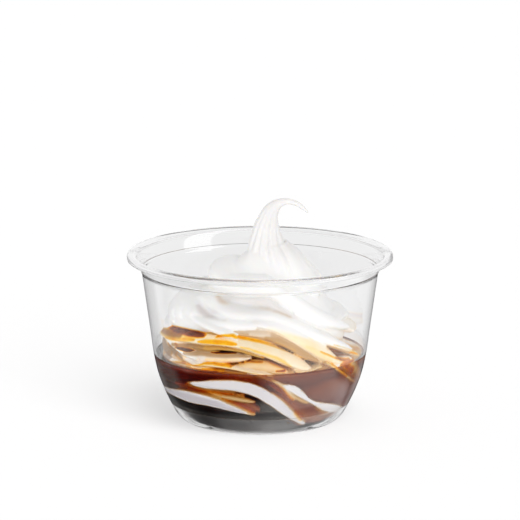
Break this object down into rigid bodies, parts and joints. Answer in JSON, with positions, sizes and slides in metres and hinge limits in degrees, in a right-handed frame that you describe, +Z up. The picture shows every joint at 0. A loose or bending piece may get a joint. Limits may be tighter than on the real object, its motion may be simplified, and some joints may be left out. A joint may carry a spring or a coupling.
{
  "type": "affogato in a clear cup",
  "caption": "Affogato: a white soft serve swirl with a curled peak standing in dark coffee, in a clear round dessert cup with a rolled lip and a stepped shoulder.",
  "frame": {"origin": "middle of the foot of the cup, on the surface that it stands on", "axes": "+Z up along the cup's axis, -Y towards the front of the dessert, +X to the right, the way the curl of the peak bends"},
  "size_m": [0.098, 0.098, 0.0823],
  "materials": {
    "clear_plastic": "clear, glossy moulded plastic",
    "soft_serve_cream": "smooth white soft serve, stained amber to brown near the coffee",
    "coffee_liquid": "dark brown liquid, amber where it is thin"
  },
  "bodies": {
    "root": {"cup": "clear_plastic", "soft_serve": "soft_serve_cream", "coffee": "coffee_liquid"}
  },
  "joints": []
}
